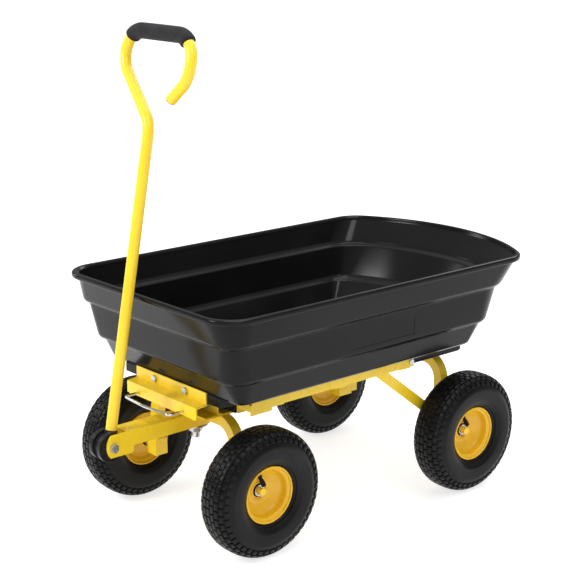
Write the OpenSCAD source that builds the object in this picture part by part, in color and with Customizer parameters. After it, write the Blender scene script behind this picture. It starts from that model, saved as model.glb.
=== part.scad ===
// Garden dump cart: a moulded tub on a steel running gear with a steered front
// axle, four pneumatic wheels, a loop handle and a sprung latch at the front.
// The tub, its rails and its braces tip backwards about the rear axle.
// Front faces -Y, up is +Z, right is +X. The origin is on the ground, under
// the middle of the cart. All sizes are in millimetres.

/* [Wheels] */
// Outer diameter of a tyre
tyre_d = 260; // [254:1:266]
// Width of a tyre at its widest
tyre_w = 82; // [76:1:84]
// Diameter over the rim's edge
rim_d = 117; // [115:1:118]
// Distance between the front and rear axles
wheelbase = 549; // [540:1:560]
// Distance between the middles of the front tyres
front_track = 410; // [406:1:420]
// Distance between the middles of the rear tyres
rear_track = 462; // [461:1:470]
// Diameter of the axle stubs
stub_d = 15; // [14:0.5:15]

/* [Tub] */
// Height of the lip's top above the ground
tub_top = 507; // [505:1:515]
// Radius of the bowed rear end of the tub
bow_r = 430; // [400:5:520]
// Thickness of the moulded floor
tub_wall = 4; // [3:0.5:4.5]

/* [Frame] */
// Side of the square tube of both arches
arch_tube = 22; // [20:1:24]
// Wall of the square tube
arch_wall = 2; // [1.5:0.5:3]
// Height of the front arch's top
front_arch_top = 258; // [256:1:258]
// Height of the rear arch's top
rear_arch_top = 282; // [278:1:284]
// Thickness of the angle rails and the latch plate
sheet = 3; // [2:0.5:3]

/* [Drawbar and handle] */
// Outer width of the folded drawbar
drawbar_w = 44; // [42:1:48]
// Distance of the handle's pivot in front of the front axle
pivot_reach = 215.5; // [212:0.5:220]
// Height of the handle's pivot
pivot_z = 219.5; // [217:0.5:222]
// Radius of the plastic pivot barrel
barrel_r = 30; // [27:1:31]
// Diameter of the handle tube
handle_d = 22; // [20:1:24]
// Lean of the parked handle towards the tub, in degrees
handle_lean = 10.46; // [8:0.02:10.5]
// Length of the straight part, from the pivot to the first bend
handle_stem = 626; // [580:2:650]
// Length from the pivot to the middle of the top run
handle_reach = 796; // [780:2:820]
// Outer diameter of the foam grip
grip_d = 31; // [28:1:34]

/* [Latch] */
// Half of the distance between the bail's legs
bail_half = 74; // [70:1:76]
// Diameter of the bail's wire
bail_d = 6; // [5:0.5:6]
// Height of the bail
bail_z = 278.5; // [278:0.5:279]

/* [Hidden] */
$fn = 64;
wheel_names = ["front_right", "front_left", "rear_right", "rear_left"];
wheel_parts = ["tyre", "inner_tube", "valve_stem", "rim_outer", "rim_inner", "hub", "bearings"];

yellow = "gold";
charcoal = [0.16, 0.16, 0.17];
rubber = [0.07, 0.07, 0.07];
zinc = [0.78, 0.79, 0.8];
foam = [0.3, 0.3, 0.32];

// Lengths are laid out from the front axle (y = 0) and shifted by axle_y, so
// that the origin comes under the middle of the cart.
tub_rear = 770;
axle_y = (pivot_reach + barrel_r - tub_rear) / 2;
axle_z = tyre_d / 2;
stub_r = stub_d / 2;
running = 0.05;
gap = 0.3;

// Tub: one row for each level of the outside, from the foot up to the lip:
// height, half width, front, rear, front corner radius, rear corner radius.
tub_rows = [
    [292, 181, -2, 625, 27, 15],
    [295, 184, -5, 628, 30, 18],
    [312, 184, -5, 628, 30, 18],
    [316, 211, -53, 629, 18, 22],
    [321, 217, -57.5, 635, 20, 26],
    [363, 230, -81, 664, 44, 42],
    [367, 237, -90, 673, 44, 46],
    [373, 241, -93.5, 681, 50, 58],
    [440, 246, -103, 714, 38, 92],
    [444, 253, -111, 726, 40, 94],
    [450, 258, -114, 729, 47, 98],
    [tub_top - 12, 266, -128, 762, 68, 86]];
lip_rows = [
    [tub_top - 12, 272.5, -135.5, 768.5, 63, 70],
    [tub_top - 9, 274, -137, tub_rear, 64, 71],
    [tub_top - 3, 274, -137, tub_rear, 64, 71],
    [tub_top, 271, -134, 767, 62, 69],
    [tub_top, 265.5, -128.5, 761.5, 61, 70],
    [tub_top - 4, 262.6, -125.2, 759.4, 63, 80]];
side_skin = 3.6;
front_skin = 3;
rear_skin = 2.5;

// Foot of the tub and the frame under it
rail_out = 187;
rail_z = 289;
rail_high = 19;
rail_wide = 28;
rail_front = -5;
rail_rear = 436;
strap_thick = 4;
strap_ys = [64, 230, 415];
spine_top = 284.5;
plate_bottom = 260;
plate_top = 264.5;
arch_bend = 43;
block_z = [110, 145];
front_block = [120, 151];
rear_block = [149, 180];
block_deep = 30;
brace = [183, 187];
brace_w = 22;
brace_top_y = 343.5;

// Wheel stations along the axle, from the wheel's middle plane, outwards
hub_in = -35;
hub_out = -6;
hub_r = 17;
bearing_r = 14;
bearing_w = 9;
stub_end = 8;
washer_r = 11.5;

// Handle
tube_back = 5;
loop_half = 103;
pivot_y = -pivot_reach;
ear_r = 32;
web_top = 245.5;
bolt_r = 5;

// Latch
keeper_y = -25;
bail_tip = -14;
bail_front = -121;
spring_ends = [-82.6, -31];

module cart() {
    translate([0, axle_y, 0])
        children();
}

module both_sides() {
    children();
    mirror([1, 0, 0])
        children();
}

// A box given by its lowest and highest corner
module block(low, high) {
    translate(low)
        cube(high - low);
}

// A round bar along X between two stations
module bar_x(x0, x1, r) {
    translate([x0, 0, 0])
        rotate([0, 90, 0])
            cylinder(h = x1 - x0, r = r);
}

// A round bar along Y between two stations
module bar_y(y0, y1, r) {
    translate([0, y1, 0])
        rotate([90, 0, 0])
            cylinder(h = y1 - y0, r = r);
}

// Turns a profile about the X axis; the profile holds [x, radius] points
module turned(points) {
    rotate([0, 90, 0])
        rotate_extrude()
            polygon([for (p = points) [p[1], p[0]]]);
}

// ---- bent tubes: a flat path in XY with one bend radius for each inner point
function heading(a, b) = atan2(b.y - a.y, b.x - a.x);
function turn_at(p, i) = let (t = heading(p[i], p[i + 1]) - heading(p[i - 1], p[i]))
    t > 180 ? t - 360 : t < -180 ? t + 360 : t;
function setback(p, r, i) = i == 0 || i == len(p) - 1 ? 0 : r[i - 1] * tan(abs(turn_at(p, i)) / 2);

// Stations along a path: [x, y, heading], one each bend_step degrees in its bends
bend_step = 9;
function along(path, radii) = concat(
    [[path[0].x, path[0].y, heading(path[0], path[1])]],
    [for (i = [1:len(path) - 2])
        let (turn = turn_at(path, i), left = turn > 0 ? 1 : -1, way = heading(path[i - 1], path[i]))
        let (from = path[i] - setback(path, radii, i) * [cos(way), sin(way)])
        let (mid = from + left * radii[i - 1] * [-sin(way), cos(way)], n = ceil(abs(turn) / bend_step))
            for (k = [0:n]) let (a = way + turn * k / n)
                [mid.x + left * radii[i - 1] * sin(a), mid.y - left * radii[i - 1] * cos(a), a]],
    [let (n = len(path) - 1) [path[n].x, path[n].y, heading(path[n - 1], path[n])]]);

// The outline of a strip of that width along the stations
function strip(stations, wide) = [for (side = [1, -1], i = [0:len(stations) - 1])
    let (s = stations[side > 0 ? i : len(stations) - 1 - i])
        [s.x - side * wide / 2 * sin(s[2]), s.y + side * wide / 2 * cos(s[2])]];

// Rings of points round those stations
function rings(stations, r, sides) = [for (s = stations, k = [0:sides - 1])
    let (a = 360 * k / sides) [s.x - r * cos(a) * sin(s[2]), s.y + r * cos(a) * cos(s[2]), r * sin(a)]];
function skin(from, n, sides, out) = [for (i = [0:n - 2], k = [0:sides - 1])
    let (a = from + i * sides + k, b = from + i * sides + (k + 1) % sides)
        each out ? [[a, b + sides, b], [a, a + sides, b + sides]]
            : [[a, b, b + sides], [a, b + sides, a + sides]]];

// A round tube along the stations
module round_tube(stations, r_out, r_in, sides) {
    n = len(stations);
    m = n * sides;
    ends = [for (k = [0:sides - 1]) let (j = (k + 1) % sides, e = m - sides)
        each [[k, j, m + j], [k, m + j, m + k], [e + k, m + e + j, e + j], [e + k, m + e + k, m + e + j]]];
    polyhedron(
        concat(rings(stations, r_out, sides), rings(stations, r_in, sides)),
        concat(skin(0, n, sides, true), skin(m, n, sides, false), ends));
}

// A round wire along the stations
module round_wire(stations, r, sides) {
    n = len(stations);
    ends = [[for (k = [0:sides - 1]) k], [for (k = [sides - 1:-1:0]) (n - 1) * sides + k]];
    polyhedron(rings(stations, r, sides), concat(skin(0, n, sides, true), ends));
}

// ---- wheels
module at_wheel(i) {
    right = i % 2 == 0 ? 1 : -1;
    rear = i > 1;
    half = (rear ? rear_track : front_track) / 2;
    translate([right * half, rear ? wheelbase : 0, axle_z])
        mirror([right > 0 ? 0 : 1, 0, 0])
            children();
}

// Half of a tyre's outside, from the bead round the wall to the crown
crown_r = tyre_d / 2;
waist_r = 90;
bead_r = 51.2;
tyre_out = concat(
    [[14, bead_r], [18.6, bead_r], [21.2, 54], [25, 59.2]],
    [for (a = [-48:12:84]) let (up = a > 0 ? crown_r - waist_r : 34)
        [tyre_w / 2 * pow(cos(a), 0.62), waist_r + up * sign(a) * pow(abs(sin(a)), 0.86)]]);
tyre_in = concat(
    [for (a = [84:-14:-42]) let (up = a > 0 ? crown_r - waist_r - 9 : 27)
        [(tyre_w / 2 - 6) * pow(cos(a), 0.62), waist_r + up * sign(a) * pow(abs(sin(a)), 0.86)]],
    [[16, 58]]);

module tyre() {
    color(rubber)
        turned(concat(
            tyre_out,
            [[0, crown_r]],
            [for (i = [len(tyre_out) - 1:-1:0]) [-tyre_out[i][0], tyre_out[i][1]]],
            [for (i = [len(tyre_in) - 1:-1:0]) [-tyre_in[i][0], tyre_in[i][1]]],
            [[0, crown_r - 9]],
            tyre_in));
}

tube_mid_r = 90;
tube_round_r = 27;

module inner_tube() {
    color(rubber)
        rotate([0, 90, 0])
            rotate_extrude()
                translate([tube_mid_r, 0])
                    difference() {
                        circle(r = tube_round_r);
                        circle(r = tube_round_r - 2);
                    }
}

// The stem leaves the rim's bowl and leans towards the axle and outwards
stem_root = [-3.5, 0, 30];
stem_lean = 139;

module along_stem() {
    translate(stem_root)
        rotate([0, stem_lean, 0])
            children();
}

module valve_stem() {
    color(rubber)
        along_stem()
            rotate_extrude()
                polygon([[0, -2], [4.7, -2], [4.7, 2], [3.7, 4.5], [3.7, 8], [4.6, 12], [4.6, 23], [0, 23]]);
}

// Half rims: a rolled edge, a bead seat and a bowl down to the hub. The outer
// half is the deeper one, and the two discs meet 8 mm inside the middle plane.
rim_r = rim_d / 2;
bowl_flange = [[23.5, 52.2], [20.5, 49]];
outer_bowl = concat(bowl_flange, [[18, 47.4], [8.5, 44.6], [1, 37], [-3.5, 28], [-5, 21.5]]);
inner_bowl = concat(bowl_flange, [[19, 47.4], [15, 44], [12.6, 35], [11.2, 27], [10.6, 21.5]]);

module half_rim(bowl, front) {
    color(yellow)
        turned(concat(
            [[front, hub_r]],
            [for (i = [len(bowl) - 1:-1:0]) bowl[i]],
            [[27.6, 57], [29.4, rim_r - 1], [29.4, rim_r], [27.2, rim_r], [25.6, 58]],
            [for (p = bowl) [p[0] - 1.6, p[1] + 1.4]],
            [[front - 2, 21], [front - 2, hub_r]]));
}

module rim_outer() {
    difference() {
        half_rim(outer_bowl, hub_out);
        along_stem()
            translate([0, 0, -14])
                cylinder(h = 24, r = 5);
    }
}

module rim_inner() {
    mirror([1, 0, 0])
        half_rim(inner_bowl, 4 - hub_out);
}

module hub() {
    color(yellow)
        turned([[hub_in, bearing_r], [hub_in, hub_r], [hub_out, hub_r], [hub_out, bearing_r],
            [hub_out - bearing_w, bearing_r], [hub_out - bearing_w, bearing_r - 2],
            [hub_in + bearing_w, bearing_r - 2], [hub_in + bearing_w, bearing_r]]);
}

module bearings() {
    color(zinc)
        for (x = [hub_in, hub_out - bearing_w])
            turned([[x, stub_r + running], [x, bearing_r], [x + bearing_w, bearing_r],
                [x + bearing_w, stub_r + running]]);
}

// ---- axles: a block under each leg of an arch with a stub to the wheel's end
module axle_blocks(span, back) {
    color(yellow)
        both_sides()
            difference() {
                block([span[0], -block_deep / 2, block_z[0]], [span[1], back, block_z[1]]);
                translate([0, 0, axle_z])
                    bar_x(span[0] - 1, span[1] + 1, stub_r);
            }
}

module rear_axle_blocks() {
    back = block_deep / 2 + 9;
    axle_blocks(rear_block, back);
    color(yellow)
        both_sides()
            block([rear_block[0], back - 4, 115], [rear_block[0] + sheet, back + 17, 137]);
}

module axle_stubs(span, half) {
    color(yellow)
        both_sides()
            translate([0, 0, axle_z])
                difference() {
                    bar_x(span[0], half + stub_end, stub_r);
                    translate([half + stub_end - 5, 0, 0])
                        cylinder(h = 3 * stub_r, r = 1.8, center = true);
                }
}

// Washers and spacer tubes on a stub, and the cotter pin through its end
module axle_retainers(stations, half) {
    color(zinc)
        both_sides()
            translate([0, 0, axle_z]) {
                for (s = stations)
                    turned([[s[0], stub_r + running], [s[0], washer_r],
                        [s[1], washer_r], [s[1], stub_r + running]]);
                translate([half + stub_end - 5, 0, 0])
                    cylinder(h = 2 * stub_r + 7, r = 1.6, center = true);
            }
}

front_half = front_track / 2;
rear_half = rear_track / 2;
front_stations = [
    [front_block[1], front_half + hub_in - gap],
    [front_half + hub_out + gap, front_half + hub_out + 3]];
rear_stations = [
    [rear_block[1], brace[0] - gap],
    [brace[1] + gap, rear_half + hub_in - gap],
    [rear_half + hub_out + gap, rear_half + hub_out + 3]];

// ---- chassis
arch_inner = arch_tube - 2 * arch_wall;

// An arch in the plane y = 0: two legs, two bends and a crossbar
module arch(foot_x, top_x, top) {
    line = along(arch_path(foot_x, top_x, top), [arch_bend, arch_bend]);
    color(yellow)
        difference() {
            arch_solid(line, arch_tube);
            arch_solid(line, arch_inner);
            block([-foot_x - 50, -50, 0], [foot_x + 50, 50, block_z[1]]);
        }
}

module arch_solid(line, wide) {
    translate([0, wide / 2, 0])
        rotate([90, 0, 0])
            linear_extrude(wide)
                polygon(strip(line, wide));
}

function arch_path(foot_x, top_x, top) = [
    [-foot_x, block_z[1] - 6],
    [-top_x, top - arch_tube / 2],
    [top_x, top - arch_tube / 2],
    [foot_x, block_z[1] - 6]];

module rear_arch() {
    translate([0, wheelbase, 0])
        arch(161, 158, rear_arch_top);
}

kingpin_r = 8;

module front_arch() {
    difference() {
        arch(133, 129.5, front_arch_top);
        translate([0, 0, front_arch_top - 2 * arch_tube])
            cylinder(h = 3 * arch_tube, r = kingpin_r + running);
    }
}

module centre_spine() {
    back = wheelbase - arch_tube / 2;
    color(yellow)
        difference() {
            block([-20, 18, plate_top], [20, back, spine_top]);
            block([-17.5, 17, plate_top + 2.5], [17.5, back + 1, spine_top - 2.5]);
        }
}

module front_plate() {
    color(yellow)
        difference() {
            block([-104, -56, plate_bottom], [104, 70, plate_top]);
            translate([0, 0, plate_bottom - 1])
                cylinder(h = 10, r = kingpin_r + running);
        }
}

// The keeper: a wall across the front plate with a notch for each bail leg
// and a rounded tab at each end
module keeper_bracket() {
    notch = bail_d / 2 + 0.4;
    color(yellow)
        difference() {
            union() {
                block([-104, keeper_y, plate_top], [104, keeper_y + 3, 281]);
                block([-104, keeper_y + 3, plate_top], [104, keeper_y + 10, plate_top + 3]);
                for (x = [-95.5, 95.5])
                    translate([x, keeper_y, 281]) {
                        block([-8.5, 0, -1], [8.5, 3, 1]);
                        translate([0, 3, 0])
                            rotate([90, 0, 0])
                                cylinder(h = 3, r = 8.5);
                    }
            }
            for (x = [-bail_half, bail_half])
                translate([x, 0, bail_z]) {
                    bar_y(keeper_y - 1, keeper_y + 4, notch);
                    block([-notch, keeper_y - 1, 0], [notch, keeper_y + 4, 20]);
                }
        }
}

module hexagon(across, high) {
    cylinder(h = high, d = across / cos(30), $fn = 6);
}

module kingpin() {
    color(zinc) {
        translate([0, 0, plate_top])
            hexagon(24, 9);
        translate([0, 0, 185])
            cylinder(h = plate_top - 185, r = kingpin_r);
    }
}

module kingpin_nut() {
    color(zinc) {
        translate([0, 0, 198])
            ring_z(12, kingpin_r + running, 10.5, true);
        translate([0, 0, 210.6])
            ring_z(25, kingpin_r + running, 3, false);
    }
}

// A washer or nut standing on z = 0
module ring_z(r, bore, high, six_sided) {
    difference() {
        if (six_sided)
            hexagon(2 * r, high);
        else
            cylinder(h = high, r = r);
        translate([0, 0, -1])
            cylinder(h = high + 2, r = bore);
    }
}

module thrust_washer() {
    color(zinc)
        translate([0, 0, front_arch_top + 0.1])
            ring_z(24, kingpin_r + running, plate_bottom - front_arch_top - 0.1, false);
}

// ---- drawbar: folded sheet, ears in front, notched under the arch
module drawbar() {
    wall = 3;
    half = drawbar_w / 2;
    low = 214.5;
    notch_y = -arch_tube / 2 - 0.5;
    color(yellow)
        difference() {
            union() {
                both_sides() {
                    translate([half - wall, 0, 0])
                        rotate([90, 0, 90])
                            linear_extrude(wall)
                                drawbar_side(low);
                }
                block([-half + wall, -184, web_top - wall], [half - wall, notch_y, web_top]);
            }
            block([-half - 1, notch_y, front_arch_top - arch_tube - 0.1], [half + 1, 40, web_top + 1]);
            translate([0, pivot_y, pivot_z])
                bar_x(-half - 1, half + 1, bolt_r + running);
        }
}

// Side view of the drawbar, y to the right and z up
module drawbar_side(low) {
    intersection() {
        translate([pivot_y + 17, pivot_z + 2])
            circle(r = ear_r);
        translate([pivot_y - 60, 199.5])
            square([77, web_top - 199.5]);
    }
    polygon([[pivot_y + 17, 199.5], [-172, 199.5], [-168, 203], [-168, low - 2], [-165, low],
        [19, low], [19, web_top], [pivot_y + 17, web_top]]);
}

// ---- handle, drawn upright with its pivot at the origin and then leaned back
module leaned() {
    translate([0, pivot_y, pivot_z])
        rotate([-handle_lean, 0, 0])
            children();
}

// Turns a flat path in XY into the handle's own plane
module handle_plane() {
    leaned()
        translate([0, tube_back, 0])
            rotate([90, 0, 0])
                children();
}

loop_top = handle_reach;
loop_path = [
    [0, barrel_r + 1],
    [0, handle_stem],
    [-loop_half, handle_stem + loop_half],
    [-loop_half, loop_top],
    [loop_half, loop_top],
    [loop_half, handle_stem + 92],
    [loop_half - 45, handle_stem + 50]];
loop_bends = [60, 50, 46, 46, 55];
grip_bend = 46;
tube_sides = 20;
handle_bore = handle_d / 2 - 1.5;
plug_r = handle_bore * cos(180 / tube_sides) - running;

module handle_tube() {
    color(yellow)
        handle_plane()
            round_tube(along(loop_path, loop_bends), handle_d / 2, handle_bore, tube_sides);
}

// The foam sleeve covers the top run and half of the bend at each end of it
module handle_grip() {
    flat = loop_half - grip_bend;
    low = loop_top - grip_bend;
    right = [for (a = [45:bend_step:90]) [flat + grip_bend * cos(a), low + grip_bend * sin(a), a + 90]];
    left = [for (a = [90:bend_step:135]) [-flat + grip_bend * cos(a), low + grip_bend * sin(a), a + 90]];
    color(foam)
        handle_plane()
            round_tube(concat(right, left), grip_d / 2, handle_d / 2 + running, tube_sides);
}

module handle_end_plug() {
    last = len(loop_path) - 1;
    color(rubber)
        handle_plane()
            translate(loop_path[last])
                rotate([0, 0, heading(loop_path[last - 1], loop_path[last])]) {
                    bar_x(-18, 0, plug_r);
                    bar_x(0, 2, handle_d / 2);
                }
}

module pivot_barrel() {
    half = drawbar_w / 2 - 3 - gap;
    color(rubber)
        leaned()
            difference() {
                union() {
                    bar_x(-half, half, barrel_r);
                    translate([0, tube_back, 0]) {
                        translate([0, 0, barrel_r - 8])
                            cylinder(h = 9, r = handle_d / 2 + 0.6);
                        translate([0, 0, barrel_r])
                            cylinder(h = 45, r = plug_r);
                    }
                }
                bar_x(-half - 1, half + 1, bolt_r + running);
            }
}

module handle_bolt() {
    half = drawbar_w / 2;
    color(zinc)
        translate([0, pivot_y, pivot_z]) {
            bar_x(-half - 12, half, bolt_r);
            translate([half, 0, 0])
                rotate([0, 90, 0])
                    hexagon(17, 6.5);
            translate([-half - 8.5, 0, 0])
                rotate([0, 90, 0])
                    ring_z(8.5, bolt_r + running, 8.5, true);
        }
}

// ---- tub
corner_steps = 7;
bow_steps = 5;

// One level of the tub, anticlockwise from the front right corner
function level(row) =
    let (w = row[1], f = row[2], r = row[3], cf = row[4], cr = row[5])
    let (mid = r - bow_r, yc = mid + sqrt(pow(bow_r - cr, 2) - pow(w - cr, 2)))
    let (meet = atan2(yc - mid, w - cr))
    let (half = concat(
        [for (i = [0:corner_steps]) let (a = -90 + 90 * i / corner_steps)
            [w - cf + cf * cos(a), f + cf + cf * sin(a)]],
        [for (i = [0:corner_steps]) let (a = meet * i / corner_steps)
            [w - cr + cr * cos(a), yc + cr * sin(a)]],
        [for (i = [1:bow_steps]) let (a = meet + (90 - meet) * i / bow_steps)
            [bow_r * cos(a), mid + bow_r * sin(a)]]))
    [for (p = concat(half, [for (i = [len(half) - 2:-1:0]) [-half[i].x, half[i].y]])) [p.x, p.y, row[0]]];

function inside(row) = [row[0] + tub_wall, row[1] - side_skin, row[2] + front_skin,
    row[3] - rear_skin, row[4] - side_skin, row[5] - side_skin];

module loft(levels) {
    n = len(levels[0]);
    rows = len(levels);
    points = [for (l = levels, p = l) p];
    walls = [for (i = [0:rows - 2], j = [0:n - 1])
        let (k = (j + 1) % n, a = i * n + j, b = i * n + k, c = (i + 1) * n + k, d = (i + 1) * n + j)
            each [[a, d, c], [a, c, b]]];
    polyhedron(points, concat(walls, [[for (j = [0:n - 1]) j], [for (j = [n - 1:-1:0]) (rows - 1) * n + j]]));
}

// A boss under the front wall carries the latch plate; it is open below
boss_front = -59;
latch_bolt_x = 51;
latch_bolt_z = 310;
latch_bolt_r = 4;
rail_bolt_r = 3;

module latch_boss() {
    difference() {
        translate([-158, 0, 0])
            rotate([90, 0, 90])
                linear_extrude(316)
                    polygon([[boss_front, 299], [boss_front, 318.5], [-56, 320.5], [-50, 317.6],
                        [-20, 315.5], [-10, 314.6], [-10, 299]]);
        for (span = [[-153, -106], [-102, -61], [-41, 41], [61, 102], [106, 153]])
            block([span.x, boss_front + 4, 290], [span.y, -14, 309]);
    }
}

// The front of the foot reaches down between the rails on both sides
module front_keel() {
    both_sides()
        difference() {
            union() {
                block([40, -11, 275], [141, -4, 304]);
                block([40, -11, 275], [141, 8, 295]);
            }
            block([44, -7, 274], [137, 4, 290]);
        }
}

panel_y = [204, 378];
panel_z = [383, 420];

module tub() {
    rim = concat(tub_rows, lip_rows);
    inner = [for (i = [len(tub_rows) - 1:-1:0]) inside(tub_rows[i])];
    color(charcoal)
        difference() {
            union() {
                loft([for (row = concat(rim, inner)) level(row)]);
                latch_boss();
                front_keel();
            }
            both_sides()
                translate([243.4, 0, (panel_z[0] + panel_z[1]) / 2])
                    rotate([0, 4.3, 0])
                        block([-1.2, panel_y[0], -18.5], [4, panel_y[1], 18.5]);
            for (x = [-latch_bolt_x, latch_bolt_x])
                translate([x, 0, latch_bolt_z])
                    bar_y(boss_front - 1, -20, latch_bolt_r + running);
            both_sides()
                rail_bolt_bore();
        }
}

// ---- frame under the tub
module rail() {
    color(yellow)
        difference() {
            union() {
                block([rail_out - sheet, rail_front, rail_z], [rail_out, rail_rear - 9, rail_z + rail_high]);
                block([rail_out - sheet, rail_rear - 10, rail_z], [rail_out, rail_rear, rail_z + 10]);
                translate([0, rail_rear - 9, rail_z + 10])
                    bar_x(rail_out - sheet, rail_out, 9);
                block([rail_out - rail_wide, rail_front, rail_z],
                    [rail_out - sheet, rail_rear - 16, rail_z + 3]);
            }
            rail_bolt_bore();
        }
}

module rail_bolt_bore() {
    translate([0, rail_rear - 9, rail_z + 11])
        bar_x(rail_out - 17, rail_out + 1, rail_bolt_r + running);
}

module brace_bar() {
    run = [wheelbase - brace_top_y, rail_z - axle_z];
    long = norm(run);
    color(yellow)
        difference() {
            union() {
                translate([brace[0], wheelbase, axle_z])
                    rotate([-atan2(run.y, run.x), 0, 0])
                        block([0, -long - 20, -brace_w / 2], [brace[1] - brace[0], 0, brace_w / 2]);
                translate([0, wheelbase, axle_z])
                    bar_x(brace[0], brace[1], 16);
            }
            block([170, 200, rail_z], [200, 450, rail_z + 60]);
            translate([0, wheelbase, axle_z])
                bar_x(brace[0] - 1, brace[1] + 1, stub_r + running);
        }
}

// A gusset at each front corner: a front plate with a deeper plate behind each
// of its ends, tied together under the rail
module front_brackets() {
    color(yellow)
        both_sides() {
            block([143, rail_front - sheet, rail_z - 2], [rail_out, rail_front, rail_z + 13]);
            block([143, rail_front - sheet, 275], [143 + sheet, 45, rail_z]);
            block([rail_out - sheet, rail_front - sheet, 280], [rail_out, 45, rail_z]);
            block([143, 20, rail_z - sheet], [rail_out, 45, rail_z]);
        }
}

module cross_straps() {
    color(yellow)
        for (y = strap_ys)
            block([-rail_out + sheet + 1, y - 15, rail_z - strap_thick],
                [rail_out - sheet - 1, y + 15, rail_z]);
}

latch_half = 115;
latch_fold = -83;

module latch_plate() {
    color(yellow)
        difference() {
            union() {
                block([-latch_half, boss_front - sheet, 293], [latch_half, boss_front, 321]);
                translate([-latch_half, 0, 0])
                    rotate([90, 0, 90])
                        linear_extrude(2 * latch_half)
                            polygon([[boss_front, 293.5], [boss_front - sheet, 297.5],
                                [latch_fold - sheet, 295], [latch_fold - sheet, 270.5],
                                [latch_fold, 270.5], [latch_fold, 292]]);
                for (x = [-latch_half + 11, latch_half - 11])
                    translate([x, 0, 279])
                        bar_y(latch_fold - sheet, latch_fold, 10.5);
            }
            for (x = [-bail_half, bail_half])
                translate([x, 0, bail_z])
                    bar_y(latch_fold - sheet - 1, latch_fold + 1, bail_d / 2 + running);
            for (x = [-latch_bolt_x, latch_bolt_x])
                translate([x, 0, latch_bolt_z])
                    bar_y(boss_front - sheet - 1, boss_front + 1, latch_bolt_r + running);
        }
}

// Bolts of the latch plate and of the rails' rear ends
module tub_bolts() {
    color(zinc) {
        for (x = [-latch_bolt_x, latch_bolt_x])
            translate([x, boss_front - sheet, latch_bolt_z])
                rotate([90, 0, 0]) {
                    hexagon(13, 5.5);
                    translate([0, 0, -24])
                        cylinder(h = 24, r = latch_bolt_r);
                }
        both_sides()
            translate([rail_out, rail_rear - 9, rail_z + 11])
                rotate([0, 90, 0]) {
                    cylinder(h = 3.5, r = 6);
                    translate([0, 0, -6.5])
                        cylinder(h = 6.5, r = rail_bolt_r);
                }
    }
}

// ---- latch bail: a wire bow whose two legs slide in the latch plate
bail_path = [[-bail_half, bail_tip], [-bail_half, bail_front], [0, bail_front - 6],
    [bail_half, bail_front], [bail_half, bail_tip]];

module bail() {
    color(zinc)
        translate([0, 0, bail_z])
            round_wire(along(bail_path, [10, 150, 10]), bail_d / 2, 20);
}

module bail_washers() {
    color(zinc)
        for (x = [-bail_half, bail_half])
            translate([x, spring_ends[1] + gap, bail_z])
                rotate([-90, 0, 0])
                    ring_z(7.5, bail_d / 2 + running, 2, false);
}

spring_turns = 6;
spring_r = 5;
spring_wire = 0.9;

// A coil along Y, swept as a six-sided wire
module coil(y0, y1) {
    steps = spring_turns * 10;
    points = [for (i = [0:steps], k = [0:5])
        let (a = 36 * i, y = y0 + spring_wire + (y1 - y0 - 2 * spring_wire) * i / steps)
        let (r = spring_r + spring_wire * cos(60 * k))
            [r * cos(a), y + spring_wire * sin(60 * k), r * sin(a)]];
    walls = [for (i = [0:steps - 1], k = [0:5])
        let (a = i * 6 + k, b = i * 6 + (k + 1) % 6)
            each [[a, b, b + 6], [a, b + 6, a + 6]]];
    polyhedron(points, concat(walls, [[5, 4, 3, 2, 1, 0], [for (k = [0:5]) steps * 6 + k]]));
}

module bail_springs() {
    color(zinc)
        for (x = [-bail_half, bail_half])
            translate([x, 0, bail_z])
                coil(spring_ends[0], spring_ends[1]);
}

for (i = [0:3]) {
    name = wheel_names[i];
    cart() at_wheel(i) tyre();
    cart() at_wheel(i) inner_tube();
    cart() at_wheel(i) valve_stem();
    cart() at_wheel(i) rim_outer();
    cart() at_wheel(i) rim_inner();
    cart() at_wheel(i) hub();
    cart() at_wheel(i) bearings();
}
cart() centre_spine();
cart() front_plate();
cart() keeper_bracket();
cart() kingpin();
cart() kingpin_nut();
cart() thrust_washer();
cart() rear_arch();
cart() translate([0, wheelbase, 0]) rear_axle_blocks();
cart() translate([0, wheelbase, 0]) axle_stubs(rear_block, rear_half);  // rear_axle_stubs
cart() translate([0, wheelbase, 0]) axle_retainers(rear_stations, rear_half);  // rear_axle_retainers
cart() front_arch();
cart() axle_blocks(front_block, block_deep / 2);  // front_axle_blocks
cart() axle_stubs(front_block, front_half);  // front_axle_stubs
cart() axle_retainers(front_stations, front_half);  // front_axle_retainers
cart() drawbar();
cart() handle_bolt();
cart() pivot_barrel();
cart() handle_tube();
cart() handle_grip();
cart() handle_end_plug();
cart() tub();
cart() rail();  // rail_right
cart() mirror([1, 0, 0]) rail();  // rail_left
cart() brace_bar();  // brace_right
cart() mirror([1, 0, 0]) brace_bar();  // brace_left
cart() front_brackets();
cart() cross_straps();
cart() latch_plate();
cart() tub_bolts();
cart() bail();
cart() bail_springs();
cart() bail_washers();
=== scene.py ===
import math

import bmesh
import bpy
from mathutils import Matrix, Vector


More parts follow.
